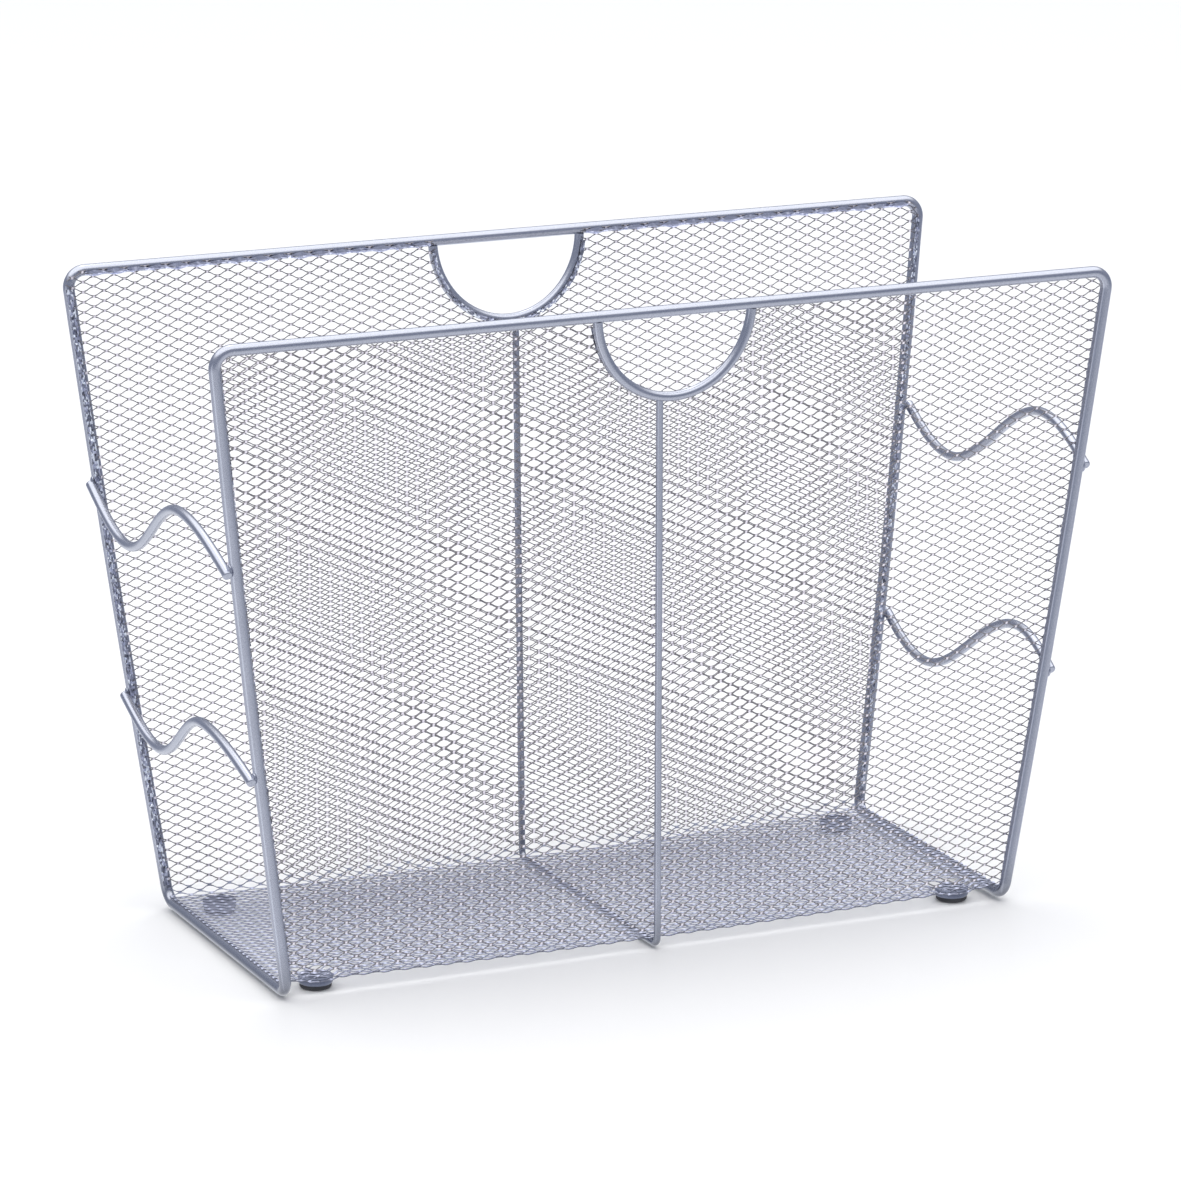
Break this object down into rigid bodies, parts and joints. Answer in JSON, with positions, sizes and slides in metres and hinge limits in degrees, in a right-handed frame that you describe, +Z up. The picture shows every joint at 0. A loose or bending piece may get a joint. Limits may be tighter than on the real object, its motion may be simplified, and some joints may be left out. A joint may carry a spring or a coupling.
{
  "type": "magazine file holder",
  "caption": "Free-standing desk holder for magazines and files: expanded metal folded into an open-ended U inside a leaning wire frame, with D-shaped hand holes and wavy side wires.",
  "frame": {"origin": "middle of the footprint, on the surface that the four pads stand on", "axes": "+X along the length, +Y from the front panel to the rear panel, +Z up"},
  "size_m": [0.413, 0.182, 0.2871],
  "materials": {
    "wire": "satin silver lacquer with a blue-grey cast",
    "expanded_sheet": "satin silver lacquer over expanded steel",
    "foot_plate": "satin silver lacquer, darker in shade",
    "foot_pad": "matt dark rubber"
  },
  "bodies": {
    "root": {"frame_front": "wire", "frame_rear": "wire", "handle_arc_front": "wire", "handle_arc_rear": "wire", "centre_wire": "wire", "wave_wire_left_upper": "wire", "wave_wire_left_lower": "wire", "wave_wire_right_upper": "wire", "wave_wire_right_lower": "wire", "mesh_sheet": "expanded_sheet", "foot_plate_front_left": "foot_plate", "foot_plate_front_right": "foot_plate", "foot_plate_rear_left": "foot_plate", "foot_plate_rear_right": "foot_plate", "foot_pad_front_left": "foot_pad", "foot_pad_front_right": "foot_pad", "foot_pad_rear_left": "foot_pad", "foot_pad_rear_right": "foot_pad"}
  },
  "joints": []
}
